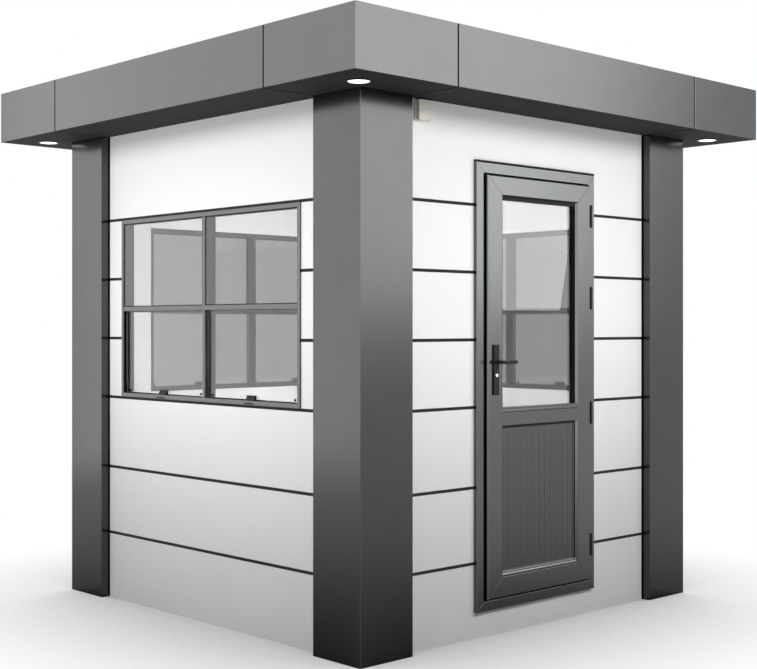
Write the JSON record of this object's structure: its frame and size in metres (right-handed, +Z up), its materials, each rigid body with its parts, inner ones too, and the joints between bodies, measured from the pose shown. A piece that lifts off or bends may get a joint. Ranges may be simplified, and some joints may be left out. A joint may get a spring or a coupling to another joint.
{
  "type": "security guard booth",
  "caption": "Square guard booth with corner posts, white panel walls, sliding windows, a glazed door that opens outward and a deep flat roof edge with lights.",
  "frame": {"origin": "middle of the booth's footprint, on the ground", "axes": "+Z up, the door faces -Y, +X to the right of someone who faces the door from outside"},
  "size_m": [2.84, 2.84, 2.65],
  "materials": {
    "wall_panel": "white painted sheet, satin",
    "post_cladding": "dark grey painted sheet, satin",
    "roof_cladding": "dark grey painted sheet, satin",
    "roof_membrane": "grey roofing sheet, matt",
    "black_seal": "black rubber strip, matt",
    "floor_covering": "grey floor covering, matt",
    "galvanised_steel": "galvanised steel, dull",
    "door_profile": "grey powder coat, satin",
    "door_glass": "clear glass",
    "window_profile": "dark grey powder coat, satin",
    "window_glass": "grey tinted glass",
    "black_hardware": "black powder coat, satin",
    "bright_metal": "bright nickel",
    "lamp_lens": "white lamp lens, lit",
    "sensor_housing": "cream plastic, matt"
  },
  "bodies": {
    "booth": {"back_wall": "wall_panel", "ceiling": "wall_panel", "corner_post_back_left": "post_cladding", "corner_post_back_right": "post_cladding", "corner_post_front_left": "post_cladding", "corner_post_front_right": "post_cladding", "door_frame": "door_profile", "downlight_cans": "bright_metal", "downlight_lenses": "lamp_lens", "floor_bearers": "galvanised_steel", "floor_deck": "floor_covering", "front_wall_left": "wall_panel", "front_wall_over_door": "wall_panel", "front_wall_right": "wall_panel", "front_wall_under_door": "wall_panel", "hinge_frame_sides": "black_hardware", "left_wall": "wall_panel", "right_wall": "wall_panel", "roof_deck": "roof_membrane", "roof_edge_back": "roof_cladding", "roof_edge_corners": "roof_cladding", "roof_edge_front": "roof_cladding", "roof_edge_left": "roof_cladding", "roof_edge_right": "roof_cladding", "roof_joint_strips": "black_seal", "sensor_box": "sensor_housing", "wall_joint_strips": "black_seal", "window_catches": "black_hardware", "window_frame_back": "window_profile", "window_frame_left": "window_profile", "window_frame_right": "window_profile", "window_glass_back": "window_glass", "window_glass_left": "window_glass", "window_glass_right": "window_glass", "window_sash_rails": "window_profile"},
    "door": {"door_leaf": "door_profile", "door_beads": "door_profile", "door_glass": "door_glass", "door_panel": "door_profile", "hinge_leaf_sides": "black_hardware", "handle_plates": "black_hardware", "lock_cylinders": "bright_metal"},
    "lever": {"door_lever": "black_hardware"}
  },
  "joints": [
    {"name": "door_hinge", "type": "hinge", "parent": "booth", "child": "door", "pos_m": [0.373, -1.146, 1.133], "axis": [0, 0, 1], "range_deg": [0, 110]},
    {"name": "lever_turn", "type": "hinge", "parent": "door", "child": "lever", "pos_m": [-0.32, -1.145, 1.243], "axis": [0, 1, 0], "range_deg": [0, 40], "stiffness_Nm_per_rad": 1.5, "springref_deg": -34.38}
  ]
}
